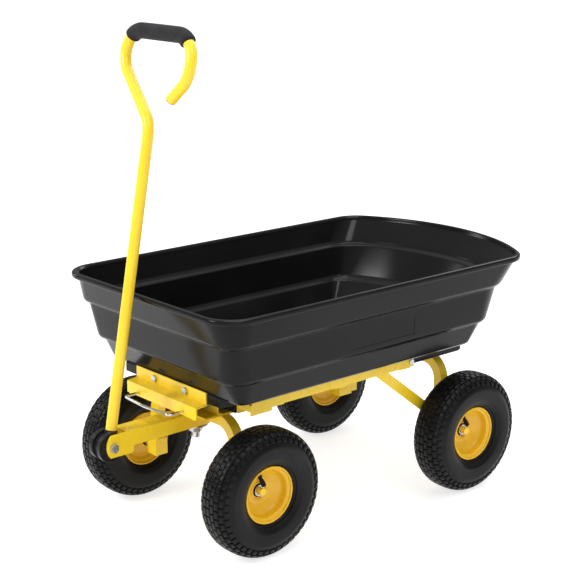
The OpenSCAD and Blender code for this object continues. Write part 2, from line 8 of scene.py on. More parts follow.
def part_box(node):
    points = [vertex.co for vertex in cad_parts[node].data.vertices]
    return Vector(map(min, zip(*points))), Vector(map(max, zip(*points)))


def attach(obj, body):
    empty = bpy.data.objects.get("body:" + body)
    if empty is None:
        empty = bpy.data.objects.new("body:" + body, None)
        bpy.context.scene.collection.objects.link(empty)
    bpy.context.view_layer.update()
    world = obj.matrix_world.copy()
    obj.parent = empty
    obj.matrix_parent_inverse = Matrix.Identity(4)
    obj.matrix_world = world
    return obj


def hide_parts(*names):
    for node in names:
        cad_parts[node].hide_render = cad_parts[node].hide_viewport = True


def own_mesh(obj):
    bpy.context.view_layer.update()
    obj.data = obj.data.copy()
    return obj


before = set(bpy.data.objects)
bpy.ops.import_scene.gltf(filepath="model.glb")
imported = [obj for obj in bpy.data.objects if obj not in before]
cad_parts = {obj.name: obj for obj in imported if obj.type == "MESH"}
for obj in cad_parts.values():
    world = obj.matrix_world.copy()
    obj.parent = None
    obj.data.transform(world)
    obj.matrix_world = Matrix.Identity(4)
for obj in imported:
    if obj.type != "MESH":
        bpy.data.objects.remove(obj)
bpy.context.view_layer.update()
mm = 0.001


def middleOf(node):
    low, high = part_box(node)
    return (low + high) / 2


frontAxle = middleOf("front_axle_stubs")
rearAxle = middleOf("rear_axle_stubs")
handlePivot = Vector((0, middleOf("handle_bolt").y, middleOf("handle_bolt").z))
print("frame loaded, front axle at y", round(frontAxle.y, 4))


def linkPiece(name, mesh):
    piece = bpy.data.objects.new(name, mesh)
    bpy.context.scene.collection.objects.link(piece)
    return piece


# Points are in mm; a closed shell gets its faces turned outwards.
def meshFrom(name, points, faces):
    mesh = bpy.data.meshes.new(name)
    mesh.from_pydata([Vector(p) * mm for p in points], [], faces)
    work = bmesh.new()
    work.from_mesh(mesh)
    bmesh.ops.remove_doubles(work, verts=work.verts, dist=1e-6)
    bmesh.ops.recalc_face_normals(work, faces=work.faces)
    for face in work.faces:
        face.smooth = True
    work.to_mesh(mesh)
    work.free()
    return mesh


def joinMeshes(name, meshes):
    work = bmesh.new()
    for mesh in meshes:
        work.from_mesh(mesh)
    joined = bpy.data.meshes.new(name)
    work.to_mesh(joined)
    work.free()
    return joined


# Runs an object's modifiers into a plain mesh and removes the object.
def bakedMesh(piece):
    graph = bpy.context.evaluated_depsgraph_get()
    mesh = bpy.data.meshes.new_from_object(piece.evaluated_get(graph))
    bpy.data.objects.remove(piece)
    return mesh


def roundedEdges(mesh, width, segments, angle=32):
    piece = linkPiece("rounding", mesh)
    bevel = piece.modifiers.new("round", "BEVEL")
    bevel.width = width * mm
    bevel.segments = segments
    bevel.limit_method = "ANGLE"
    bevel.angle_limit = math.radians(angle)
    bevel.miter_outer = "MITER_ARC"
    weighted = piece.modifiers.new("normals", "WEIGHTED_NORMAL")
    weighted.keep_sharp = True
    weighted.weight = 100
    return bakedMesh(piece)


def finishPiece(name, mesh, body, material, nodes, sharpAngle=40):
    mesh.materials.clear()
    mesh.materials.append(material)
    mesh.polygons.foreach_set("material_index", [0] * len(mesh.polygons))
    if sharpAngle:
        mesh.set_sharp_from_angle(angle=math.radians(sharpAngle))
    mesh.name = name
    piece = linkPiece(name, mesh)
    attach(piece, body)
    if nodes:
        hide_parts(*nodes)
    return piece


# A cleaned copy of a CAD node with small rounds on its sharp edges.
def roundedCopy(node, width, segments):
    work = bmesh.new()
    work.from_mesh(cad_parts[node].data)
    bmesh.ops.remove_doubles(work, verts=work.verts, dist=2e-6)
    bmesh.ops.dissolve_limit(
        work, angle_limit=math.radians(0.6), verts=work.verts, edges=work.edges)
    for face in work.faces:
        face.smooth = True
    mesh = bpy.data.meshes.new(node)
    work.to_mesh(mesh)
    work.free()
    return roundedEdges(mesh, width, segments)


# Turns (x, radius) points about the X axis: a closed section, or an open one with both ends
# on the axis.
def turnedRing(name, profile, steps=96, closed=True):
    points, faces, count = [], [], len(profile)
    for i in range(steps):
        angle = 2 * math.pi * i / steps
        points += [(x, r * math.sin(angle), r * math.cos(angle)) for x, r in profile]
        after = (i + 1) % steps
        faces += [(i * count + k, i * count + (k + 1) % count,
                   after * count + (k + 1) % count, after * count + k)
                  for k in range(count if closed else count - 1)]
    return meshFrom(name, points, faces)


def turnedSolid(name, profile, steps):
    return turnedRing(name, profile, steps, closed=False)


# Rounds the corners of a line of points; each point may have any number of values.
def softened(rows, reach, steps, closed=False):
    made = []
    last = len(rows) - 1
    for i, row in enumerate(rows):
        if not closed and i in (0, last):
            made.append(list(row))
            continue
        before, after = rows[i - 1], rows[(i + 1) % len(rows)]

        def toward(other):
            length = math.dist(row, other) or 1
            share = min(0.5, reach / length)
            return [a + (b - a) * share for a, b in zip(row, other)]

        start, end = toward(before), toward(after)
        for k in range(steps + 1):
            t = k / steps
            made.append([(1 - t) ** 2 * a + 2 * t * (1 - t) * b + t * t * c
                         for a, b, c in zip(start, row, end)])
    return made


def addNode(tree, kind, inputs=None, **settings):
    node = tree.nodes.new(kind)
    for key, value in settings.items():
        setattr(node, key, value)
    for key, value in (inputs or {}).items():
        node.inputs[key].default_value = value
    return node


def newMaterial(name, sockets):
    material = bpy.data.materials.new(name)
    material.use_nodes = True
    shader = material.node_tree.nodes["Principled BSDF"]
    for label, value in sockets.items():
        shader.inputs[label].default_value = value
    return material


# A pattern of "noise" or "cells" in the piece's own space.
def patternOn(material, kind, scale, detail=0, stretch=(1, 1, 1)):
    tree = material.node_tree
    place = addNode(tree, "ShaderNodeTexCoord")
    mapping = addNode(tree, "ShaderNodeMapping", {"Scale": stretch})
    if kind == "cells":
        pattern, result = addNode(tree, "ShaderNodeTexVoronoi", {"Scale": scale}), "Distance"
    else:
        pattern, result = addNode(tree, "ShaderNodeTexNoise", {"Scale": scale, "Detail": detail}), "Fac"
    tree.links.new(place.outputs["Object"], mapping.inputs["Vector"])
    tree.links.new(mapping.outputs["Vector"], pattern.inputs["Vector"])
    return pattern.outputs[result]


# Blends through two or three colours as the pattern goes from low to high.
def colourBy(material, pattern, colours, low, high):
    tree = material.node_tree
    ramp = addNode(tree, "ShaderNodeValToRGB")
    stops = ramp.color_ramp.elements
    for i, colour in enumerate(colours):
        at = low + (high - low) * i / (len(colours) - 1)
        stop = stops[i] if i < 2 else stops.new(at)
        stop.position = at
        stop.color = (*colour, 1)
    tree.links.new(pattern, ramp.inputs["Fac"])
    tree.links.new(ramp.outputs["Color"], tree.nodes["Principled BSDF"].inputs["Base Color"])


def roughnessBy(material, pattern, low, high):
    tree = material.node_tree
    span = addNode(tree, "ShaderNodeMapRange", {
        "From Min": 0.3, "From Max": 0.7, "To Min": low, "To Max": high})
    tree.links.new(pattern, span.inputs["Value"])
    tree.links.new(span.outputs["Result"], tree.nodes["Principled BSDF"].inputs["Roughness"])


# Stacks bumps, coarse ones first.
def bumpsBy(material, layers):
    tree = material.node_tree
    normal = None
    for pattern, strength, depth in layers:
        bump = addNode(tree, "ShaderNodeBump", {"Strength": strength, "Distance": depth * mm})
        tree.links.new(patternOn(material, *pattern), bump.inputs["Height"])
        if normal:
            tree.links.new(normal, bump.inputs["Normal"])
        normal = bump.outputs["Normal"]
    tree.links.new(normal, tree.nodes["Principled BSDF"].inputs["Normal"])


def makeFinish(name, look):
    finish = newMaterial(name, look["sockets"])
    colourBy(finish, patternOn(finish, *look["colourPattern"]), look["colours"], *look["colourSpan"])
    roughnessBy(finish, patternOn(finish, *look["roughPattern"]), *look["roughness"])
    bumpsBy(finish, look["bumps"])
    return finish


# Patterns are kind, scale, detail and stretch; bumps are a pattern, its strength and its
# depth in mm.
paintLook = {
    "sockets": {"Specular IOR Level": 0.32, "Coat Weight": 0.16, "Coat Roughness": 0.08},
    "colours": [(0.84, 0.565, 0.020), (0.88, 0.605, 0.026), (0.92, 0.64, 0.032)],
    "colourPattern": ("noise", 9, 4), "colourSpan": (0.30, 0.72),
    "roughness": (0.22, 0.34), "roughPattern": ("noise", 26, 5),
    "bumps": [(("noise", 60, 2), 0.12, 0.15), (("noise", 420, 2), 0.35, 0.04)],
}
# Painted shade: the rims and hubs take a darker, more orange copy of the frame yellow. It stands in for
# the shade and inter-reflection in the concave wheel bowls.
rimShadeColours = [(0.74, 0.43, 0.012), (0.78, 0.455, 0.016), (0.82, 0.48, 0.020)]  # a deeper yellow
plasticLook = {
    "sockets": {"Specular IOR Level": 0.14},
    "colours": [(0.0052, 0.0052, 0.0058), (0.0066, 0.0066, 0.0073), (0.0082, 0.0082, 0.0090)],
    "colourPattern": ("noise", 5, 5, (1, 1, 2.5)), "colourSpan": (0.3, 0.7),
    "roughness": (0.13, 0.21), "roughPattern": ("noise", 11, 6, (1, 1, 0.5)),
    "bumps": [(("noise", 4, 1), 0.20, 0.5), (("noise", 30, 2), 0.12, 0.14),
              (("noise", 1500, 3), 0.25, 0.012)],
}
tyreLook = {
    "sockets": {"Specular IOR Level": 0.16},
    "colours": [(0.0025, 0.0025, 0.0027), (0.0045, 0.0045, 0.0048), (0.0090, 0.0086, 0.0082)],
    "colourPattern": ("noise", 14, 6), "colourSpan": (0.3, 0.75),
    "roughness": (0.27, 0.42), "roughPattern": ("noise", 22, 5),
    "bumps": [(("noise", 45, 3), 0.20, 0.4), (("noise", 900, 3), 0.35, 0.05)],
}
foamLook = {
    "sockets": {"Specular IOR Level": 0.2, "Sheen Weight": 0.04, "Sheen Roughness": 0.5},
    "colours": [(0.010, 0.010, 0.011), (0.017, 0.017, 0.019)],
    "colourPattern": ("noise", 55, 4), "colourSpan": (0.3, 0.7),
    "roughness": (0.72, 0.92), "roughPattern": ("noise", 120, 4),
    "bumps": [(("cells", 700), 0.45, 0.25), (("noise", 2600, 2), 0.4, 0.08)],
}
zincLook = {
    "sockets": {"Metallic": 1.0},
    "colours": [(0.40, 0.41, 0.42), (0.60, 0.61, 0.62)],
    "colourPattern": ("cells", 260), "colourSpan": (0.0, 0.7),
    "roughness": (0.22, 0.40), "roughPattern": ("noise", 320, 4),
    "bumps": [(("noise", 900, 3), 0.25, 0.03)],
}
chromeLook = {
    "sockets": {"Metallic": 1.0},
    "colours": [(0.50, 0.51, 0.53), (0.66, 0.67, 0.69)],
    "colourPattern": ("noise", 40, 3), "colourSpan": (0.35, 0.65),
    "roughness": (0.12, 0.22), "roughPattern": ("noise", 160, 4),
    "bumps": [(("noise", 700, 2, (1, 0.2, 1)), 0.15, 0.02)],
}
springLook = {
    "sockets": {"Metallic": 1.0},
    "colours": [(0.045, 0.045, 0.048), (0.14, 0.14, 0.145)],
    "colourPattern": ("noise", 300, 4), "colourSpan": (0.35, 0.65),
    "roughness": (0.28, 0.5), "roughPattern": ("noise", 500, 3),
    "bumps": [(("noise", 1500, 2), 0.3, 0.03)],
}
barrelLook = {
    "sockets": {"Specular IOR Level": 0.2},
    "colours": [(0.006, 0.006, 0.007), (0.012, 0.012, 0.013)],
    "colourPattern": ("noise", 45, 4), "colourSpan": (0.35, 0.65),
    "roughness": (0.30, 0.48), "roughPattern": ("noise", 90, 4),
    "bumps": [(("noise", 1300, 2), 0.4, 0.04)],
}
stemLook = {
    "sockets": {"Specular IOR Level": 0.2},
    "colours": [(0.005, 0.005, 0.005), (0.011, 0.011, 0.011)],
    "colourPattern": ("noise", 150, 3), "colourSpan": (0.35, 0.65),
    "roughness": (0.42, 0.6), "roughPattern": ("noise", 240, 3),
    "bumps": [(("noise", 1400, 2), 0.3, 0.04)],
}

yellowPaint = makeFinish("yellowPaint", paintLook)
# Painted shade: the frame yellow with the darker rim colours, used for the rims and hubs.
shadedRimPaint = makeFinish("shadedRimPaint", dict(paintLook, colours=rimShadeColours))
tubPlastic = makeFinish("tubPlastic", plasticLook)
tyreRubber = makeFinish("tyreRubber", tyreLook)
foamSleeve = makeFinish("foamSleeve", foamLook)
zincPlate = makeFinish("zincPlate", zincLook)
polishedChrome = makeFinish("polishedChrome", chromeLook)
blackenedSteel = makeFinish("blackenedSteel", springLook)
pivotPlastic = makeFinish("pivotPlastic", barrelLook)
stemRubber = makeFinish("stemRubber", stemLook)
print("materials made")


def startTree(name, inputs):
    tree = bpy.data.node_groups.new(name, "GeometryNodeTree")
    for label, kind in inputs:
        tree.interface.new_socket(label, in_out="INPUT", socket_type="NodeSocket" + kind)
    tree.interface.new_socket("Geometry", in_out="OUTPUT", socket_type="NodeSocketGeometry")
    return tree, tree.nodes.new("NodeGroupInput"), tree.nodes.new("NodeGroupOutput")


def endTree(tree, given, result, shape):
    real = addNode(tree, "GeometryNodeRealizeInstances")
    paint = addNode(tree, "GeometryNodeSetMaterial")
    tree.links.new(shape, real.inputs["Geometry"])
    tree.links.new(real.outputs["Geometry"], paint.inputs["Geometry"])
    tree.links.new(given.outputs["Material"], paint.inputs["Material"])
    tree.links.new(paint.outputs["Geometry"], result.inputs["Geometry"])


# Grows a tree on a base mesh and returns the plain mesh.
def grown(tree, base, **values):
    holder = linkPiece("grown", base)
    modifier = holder.modifiers.new("nodes", "NODES")
    modifier.node_group = tree
    for item in tree.interface.items_tree:
        if item.item_type == "SOCKET" and item.in_out == "INPUT" and item.name in values:
            modifier[item.identifier] = values[item.name]
    return bakedMesh(holder)


# A base of loose points or of one open line, with float attributes on its points.
def baseLine(name, points, joined=True, **attributes):
    mesh = bpy.data.meshes.new(name)
    edges = [(i, i + 1) for i in range(len(points) - 1)] if joined else []
    mesh.from_pydata([Vector(p) * mm for p in points], edges, [])
    for label, values in attributes.items():
        kind = "FLOAT_VECTOR" if hasattr(values[0], "__len__") else "FLOAT"
        layer = mesh.attributes.new(label, kind, "POINT")
        flat = [x for v in values for x in v] if kind == "FLOAT_VECTOR" else values
        layer.data.foreach_set("vector" if kind == "FLOAT_VECTOR" else "value", flat)
    return mesh


# Rows of lugs round the X axis: each base point is the foot of one row's lug.
def makeLugTree():
    tree, given, result = startTree("lugRows", [
        ("Geometry", "Geometry"), ("Lug", "Object"), ("Count", "Int"), ("Material", "Material")])
    link = tree.links.new
    copies = addNode(tree, "GeometryNodeDuplicateElements", domain="POINT")
    phase = addNode(tree, "GeometryNodeInputNamedAttribute", {"Name": "phase"}, data_type="FLOAT")
    tilt = addNode(tree, "GeometryNodeInputNamedAttribute", {"Name": "tilt"}, data_type="FLOAT")
    size = addNode(tree, "GeometryNodeInputNamedAttribute", {"Name": "size"}, data_type="FLOAT_VECTOR")
    step = addNode(tree, "ShaderNodeMath", operation="ADD")
    share = addNode(tree, "ShaderNodeMath", operation="DIVIDE")
    angle = addNode(tree, "ShaderNodeMath", {1: 2 * math.pi}, operation="MULTIPLY")
    place = addNode(tree, "GeometryNodeInputPosition")
    turn = addNode(tree, "ShaderNodeVectorRotate", rotation_type="X_AXIS")
    move = addNode(tree, "GeometryNodeSetPosition")
    lean = addNode(tree, "FunctionNodeAxisAngleToRotation", {"Axis": (0, 1, 0)})
    roll = addNode(tree, "FunctionNodeAxisAngleToRotation", {"Axis": (1, 0, 0)})
    both = addNode(tree, "FunctionNodeRotateRotation", rotation_space="GLOBAL")
    lug = addNode(tree, "GeometryNodeObjectInfo")
    spread = addNode(tree, "GeometryNodeInstanceOnPoints")
    link(given.outputs["Geometry"], copies.inputs["Geometry"])
    link(given.outputs["Count"], copies.inputs["Amount"])
    link(copies.outputs["Duplicate Index"], step.inputs[0])
    link(phase.outputs["Attribute"], step.inputs[1])
    link(step.outputs[0], share.inputs[0])
    link(given.outputs["Count"], share.inputs[1])
    link(share.outputs[0], angle.inputs[0])
    link(place.outputs["Position"], turn.inputs["Vector"])
    link(angle.outputs[0], turn.inputs["Angle"])
    link(copies.outputs["Geometry"], move.inputs["Geometry"])
    link(turn.outputs["Vector"], move.inputs["Position"])
    link(tilt.outputs["Attribute"], lean.inputs["Angle"])
    link(angle.outputs[0], roll.inputs["Angle"])
    link(lean.outputs[0], both.inputs["Rotation"])
    link(roll.outputs[0], both.inputs["Rotate By"])
    link(given.outputs["Lug"], lug.inputs["Object"])
    link(move.outputs["Geometry"], spread.inputs["Points"])
    link(lug.outputs["Geometry"], spread.inputs["Instance"])
    link(both.outputs[0], spread.inputs["Rotation"])
    link(size.outputs["Attribute"], spread.inputs["Scale"])
    endTree(tree, given, result, spread.outputs["Instances"])
    return tree


# Sweeps a round section along a curve.
def sweptRound(tree, curve, radius, sides):
    ring = addNode(tree, "GeometryNodeCurvePrimitiveCircle")
    sweep = addNode(tree, "GeometryNodeCurveToMesh", {"Fill Caps": True})
    smooth = addNode(tree, "GeometryNodeSetShadeSmooth")
    tree.links.new(radius, ring.inputs["Radius"])
    tree.links.new(sides, ring.inputs["Resolution"])
    tree.links.new(curve, sweep.inputs["Curve"])
    tree.links.new(ring.outputs["Curve"], sweep.inputs["Profile Curve"])
    tree.links.new(sweep.outputs["Mesh"], smooth.inputs["Geometry"])
    return smooth.outputs["Geometry"]


# A round bar along a line whose points carry their bend radius.
def makeBarTree():
    tree, given, result = startTree("roundBar", [
        ("Geometry", "Geometry"), ("Radius", "Float"), ("Sides", "Int"), ("Bend Steps", "Int"),
        ("Material", "Material")])
    link = tree.links.new
    line = addNode(tree, "GeometryNodeMeshToCurve")
    bend = addNode(tree, "GeometryNodeInputNamedAttribute", {"Name": "bend"}, data_type="FLOAT")
    fillet = addNode(tree, "GeometryNodeFilletCurve", mode="POLY")
    fillet.inputs["Limit Radius"].default_value = False
    link(given.outputs["Geometry"], line.inputs["Mesh"])
    link(line.outputs["Curve"], fillet.inputs["Curve"])
    link(bend.outputs["Attribute"], fillet.inputs["Radius"])
    link(given.outputs["Bend Steps"], fillet.inputs["Count"])
    endTree(tree, given, result, sweptRound(
        tree, fillet.outputs["Curve"], given.outputs["Radius"], given.outputs["Sides"]))
    return tree


# A coil about the Z axis.
def makeCoilTree():
    tree, given, result = startTree("coil", [
        ("Coil Radius", "Float"), ("Wire Radius", "Float"), ("Turns", "Float"), ("Length", "Float"),
        ("Steps", "Int"), ("Wire Sides", "Int"), ("Material", "Material")])
    link = tree.links.new
    spiral = addNode(tree, "GeometryNodeCurveSpiral")
    link(given.outputs["Steps"], spiral.inputs["Resolution"])
    link(given.outputs["Turns"], spiral.inputs["Rotations"])
    link(given.outputs["Coil Radius"], spiral.inputs["Start Radius"])
    link(given.outputs["Coil Radius"], spiral.inputs["End Radius"])
    link(given.outputs["Length"], spiral.inputs["Height"])
    endTree(tree, given, result, sweptRound(
        tree, spiral.outputs["Curve"], given.outputs["Wire Radius"], given.outputs["Wire Sides"]))
    return tree


# Weld ripples: overlapping beads along a line.
def makeWeldTree():
    tree, given, result = startTree("weldBead", [
        ("Geometry", "Geometry"), ("Bead Radius", "Float"), ("Spacing", "Float"), ("Seed", "Int"),
        ("Material", "Material")])
    link = tree.links.new
    line = addNode(tree, "GeometryNodeMeshToCurve")
    points = addNode(tree, "GeometryNodeCurveToPoints", mode="LENGTH")
    bead = addNode(tree, "GeometryNodeMeshIcoSphere", {"Subdivisions": 2})
    smooth = addNode(tree, "GeometryNodeSetShadeSmooth")
    size = addNode(tree, "FunctionNodeRandomValue", {2: 0.85, 3: 1.15}, data_type="FLOAT")
    spread = addNode(tree, "GeometryNodeInstanceOnPoints")
    link(given.outputs["Geometry"], line.inputs["Mesh"])
    link(line.outputs["Curve"], points.inputs["Curve"])
    link(given.outputs["Spacing"], points.inputs["Length"])
    link(given.outputs["Bead Radius"], bead.inputs["Radius"])
    link(bead.outputs["Mesh"], smooth.inputs["Geometry"])
    link(given.outputs["Seed"], size.inputs["Seed"])
    link(points.outputs["Points"], spread.inputs["Points"])
    link(smooth.outputs["Geometry"], spread.inputs["Instance"])
    link(size.outputs[1], spread.inputs["Scale"])
    endTree(tree, given, result, spread.outputs["Instances"])
    return tree


lugTree = makeLugTree()
barTree = makeBarTree()
coilTree = makeCoilTree()
weldTree = makeWeldTree()
print("node trees made")


# The axle of each wheel, and 1 on the right or -1 on the left.
wheels = {
    "front_right": (frontAxle, 1), "front_left": (frontAxle, -1),
    "rear_right": (rearAxle, 1), "rear_left": (rearAxle, -1),
}


def wheelMatrix(wheel):
    axle, side = wheels[wheel]
    turn = 0 if side > 0 else math.pi
    middle = Vector((middleOf(wheel + "_tyre").x, axle.y, axle.z))
    return Matrix.Translation(middle) @ Matrix.Rotation(turn, 4, "Z")


# Sets a copy of a mesh in every wheel, after an optional turn or shift of its own.
def fitWheels(part, mesh, material, node=None, sharpAngle=40, shift=Matrix()):
    for wheel in wheels:
        copy = mesh.copy()
        copy.transform(wheelMatrix(wheel) @ shift)
        finishPiece(wheel + part, copy, wheel + "_wheel", material,
                    [wheel + node] if node else [], sharpAngle)


tyreShape = {
    "crown": 130.0, "waist": 90.0, "halfWidth": 40.6, "lowerSide": 34.0,
    "bead": [(13.5, 51.4), (19, 51.3), (21.8, 52.6), (23.4, 55.2), (25.2, 58.2), (26.6, 60.2),
             (28.6, 61.2), (29.6, 62.6), (30.4, 64.8)],
    "inside": [(14, 57), (27, 64), (34, 76), (35, 90), (32, 106), (22, 117), (8, 121)],
    "shoulder": (8, 34),  # degrees over which the carcass sinks under the lugs
    "ridges": (-20, 8), "ridgeHeight": 0.5, "lugDepth": 2.6, "lugCount": 46,
    # row: distance from the middle, across, along, depth, phase
    "lugRows": [(0, 10.0, 16.0, 2.6, 0.0), (10.8, 9.6, 15.6, 2.6, 0.5), (20.9, 9.4, 15.0, 2.6, 0.0),
                (29.8, 8.6, 13.6, 2.6, 0.5), (36.4, 9.2, 11.2, 2.3, 0.0)],
    # a lug of unit size from its foot in the carcass to its worn top: half width, height
    "lugLevels": [(0.52, -0.35), (0.46, 0.76), (0.37, 1.0)],
}


# The tyre's outside as (x, radius) for an angle from the waist (0) to the crown (90).
def tyreSkin(angle):
    s = tyreShape
    a = math.radians(angle)
    height = s["crown"] - s["waist"] if angle > 0 else s["lowerSide"]
    x = s["halfWidth"] * max(math.cos(a), 0) ** 0.62
    return x, s["waist"] + height * math.copysign(abs(math.sin(a)) ** 0.86, a)


def tyreProfile():
    s = tyreShape
    start, end = s["shoulder"]
    half = list(s["bead"])
    for angle in range(-44, 90, 4):
        blend = min(max((angle - start) / (end - start), 0), 1)
        sink = s["lugDepth"] * blend * blend * (3 - 2 * blend)
        x, r = tyreSkin(angle)
        tilt = math.radians(max(angle, 0))
        rise = s["ridgeHeight"] if angle in s["ridges"] else 0
        half.append((x - sink * math.cos(tilt) + rise, r - sink * math.sin(tilt)))
    return half


# The skin's point at a distance from the tyre's middle, and its slope there.
def skinAt(x):
    low, high = 0.0, 90.0
    for _ in range(40):
        middle = (low + high) / 2
        if tyreSkin(middle)[0] > x:
            low = middle
        else:
            high = middle
    a, b = tyreSkin(low - 1.5 if low > 1.5 else low), tyreSkin(min(low + 1.5, 89.9))
    slope = math.atan2(a[0] - b[0], b[1] - a[1]) if x else math.pi / 2
    return tyreSkin(low), math.pi / 2 - slope


def makeLug():
    corners = [(-1, -1), (1, -1), (1, 1), (-1, 1)]
    points = [(sx * half, sy * half, height)
              for half, height in tyreShape["lugLevels"] for sx, sy in corners]
    faces = [(3, 2, 1, 0), (8, 9, 10, 11)]
    for low in (0, 4):
        faces += [(low + k, low + (k + 1) % 4, low + 4 + (k + 1) % 4, low + 4 + k) for k in range(4)]
    mesh = bpy.data.meshes.new("lug")
    mesh.from_pydata(points, [], faces)
    return linkPiece("lug", mesh)


def makeTread():
    places, tilts, phases, sizes = [], [], [], []
    for x, across, along, depth, phase in tyreShape["lugRows"]:
        (skinX, skinR), tilt = skinAt(x)
        for side in ((1, -1) if x else (1,)):
            places.append((side * (skinX - depth * math.sin(tilt)), 0, skinR - depth * math.cos(tilt)))
            tilts.append(side * tilt)
            phases.append(phase if side > 0 else (phase + 0.5) % 1)
            sizes.append((across * mm, along * mm, depth * mm))
    lug = makeLug()
    base = baseLine("lugFeet", places, joined=False, tilt=tilts, phase=phases, size=sizes)
    tread = grown(lugTree, base, Lug=lug, Count=tyreShape["lugCount"], Material=tyreRubber)
    bpy.data.objects.remove(lug)
    return tread


def makeTyres():
    half, inside = tyreProfile(), tyreShape["inside"]
    outside = half + [(0, tyreShape["crown"] - tyreShape["lugDepth"])]
    outside += [(-x, r) for x, r in reversed(half)]
    loop = outside + [(-x, r) for x, r in inside] + inside[::-1]
    tyre = joinMeshes("tyre", [turnedRing("carcass", loop, 144), makeTread()])
    fitWheels("Tyre", tyre, tyreRubber, "_tyre", 38)


# Profiles run from the hub to the rolled edge as (x, radius); the outer bowl is deeper.
rimShape = {
    "outer": [(-6.0, 17.2), (-5.4, 20.5), (-4.4, 23.0), (-4.0, 27.0), (-2.6, 31.0), (0.4, 36.5),
              (3.6, 41.2), (6.6, 44.8), (10.2, 46.9), (14.5, 47.6), (20.4, 48.5), (21.8, 49.6),
              (23.2, 52.0), (24.6, 54.2)],
    "inner": [(10.0, 17.2), (10.6, 21.0), (11.2, 27.0), (12.6, 35.0), (15.0, 44.0), (19.0, 47.4),
              (21.2, 48.9), (22.6, 51.6), (24.2, 54.0)],
    "sheet": 1.7, "rollAt": (26.6, 56.4), "rollRadius": 2.1, "bore": 17.2,
    "weld": [(-6.8, 16.8), (-4.4, 17.0), (-4.8, 18.8), (-5.8, 19.6), (-7.4, 19.4)],
}


def rimHalf(name, front):
    s = rimShape
    (atX, atR), radius = s["rollAt"], s["rollRadius"]
    roll = [(atX + radius * math.cos(a), atR + radius * math.sin(a))
            for a in [math.radians(d) for d in range(-115, 200, 21)]]
    face = softened(front, 1.6, 3)
    back = [(x - s["sheet"], r + 1.1) for x, r in reversed(face[1:])]
    return turnedRing(name, face + roll + back + [(front[0][0] - 1.8, s["bore"])], 128)


def makeRims():
    s = rimShape
    outer = joinMeshes("outer", [rimHalf("bowl", s["outer"]), turnedRing("hubWeld", s["weld"])])
    # Both rim halves get the painted-shade rim paint.
    fitWheels("RimOuter", outer, shadedRimPaint, "_rim_outer", 50)
    fitWheels("RimInner", rimHalf("inner", s["inner"]), shadedRimPaint, "_rim_inner", 50,
              Matrix.Rotation(math.pi, 4, "Z"))


# Half of the hub tube's section: bore, ends and the seats of the two bearings.
hubSection = [(-35, 14), (-35, 17), (-6, 17), (-6, 14), (-15, 14), (-15, 12), (-26, 12), (-26, 14)]


def makeHubs():
    tube = turnedRing("hubTube", softened(hubSection, 0.5, 2, closed=True), 64)
    # The hub tube gets the painted-shade rim paint too.
    fitWheels("Hub", tube, shadedRimPaint, "_hub")


bearingShape = {
    "faces": [(-6, -15), (-35, -26)],  # outer and inner face of each bearing
    "rim": 0.2, "seal": 0.8,  # how far the outer ring and the seal lie below the face
    "ring": (13.95, 12.7), "cover": (12.4, 10.4), "lip": (10.1, 9.5), "race": (9.45, 7.62),
}


# A sealed bearing at each end of the hub: dark ring and seal round a brighter race.
def makeBearings():
    s = bearingShape
    (outer, edge), (high, low), (lip, inner) = s["ring"], s["cover"], s["lip"]
    seals, races = [], []
    for face, back in s["faces"]:
        way = 1 if face > back else -1
        top, deep = face - way * s["rim"], face - way * s["seal"]
        seal = [(top, outer), (top, edge), (deep, high), (deep, low), (top, lip), (top, inner),
                (back, inner), (back, outer)]
        race = [(face, s["race"][0]), (face, s["race"][1]), (back, s["race"][1]), (back, s["race"][0])]
        seals.append(turnedRing("seal", softened(seal, 0.25, 2, closed=True), 64))
        races.append(turnedRing("race", softened(race, 0.4, 2, closed=True), 64))
    fitWheels("Bearings", joinMeshes("seals", seals), stemRubber, "_bearings")
    fitWheels("Races", joinMeshes("races", races), zincPlate)


stemShape = {
    "root": (-3.5, 0, 30), "lean": 139,
    "profile": [(-2, 0), (-2, 4.6), (1.5, 4.7), (3.5, 3.8), (7.5, 3.6), (8.5, 4.2), (9.5, 4.5),
                (21.4, 4.5), (22.6, 3.7), (23.0, 0)],
    "flutes": 12, "fluteAt": 4.4, "flute": [(11.0, 0), (11.4, 0.5), (20.6, 0.5), (21.2, 0)],
}


# The stem leans towards the axle end; its cap carries grip flutes.
def makeStems():
    s = stemShape
    parts = [turnedSolid("stem", softened(s["profile"], 0.6, 3), 40)]
    for k in range(s["flutes"]):
        angle = 2 * math.pi * k / s["flutes"]
        rib = turnedSolid("rib", s["flute"], 8)
        rib.transform(Matrix.Translation((0, s["fluteAt"] * mm * math.sin(angle),
                                          s["fluteAt"] * mm * math.cos(angle))))
        parts.append(rib)
    stem = joinMeshes("stem", parts)
    stem.transform(Matrix.Rotation(-math.pi / 2, 4, "Y"))
    lean = Matrix.Rotation(math.radians(s["lean"]), 4, "Y")
    root = Matrix.Translation(Vector(s["root"]) * mm)
    fitWheels("Stem", stem, stemRubber, "_valve_stem", shift=root @ lean)


makeTyres()
makeRims()
makeHubs()
makeBearings()
makeStems()
print("wheels made")


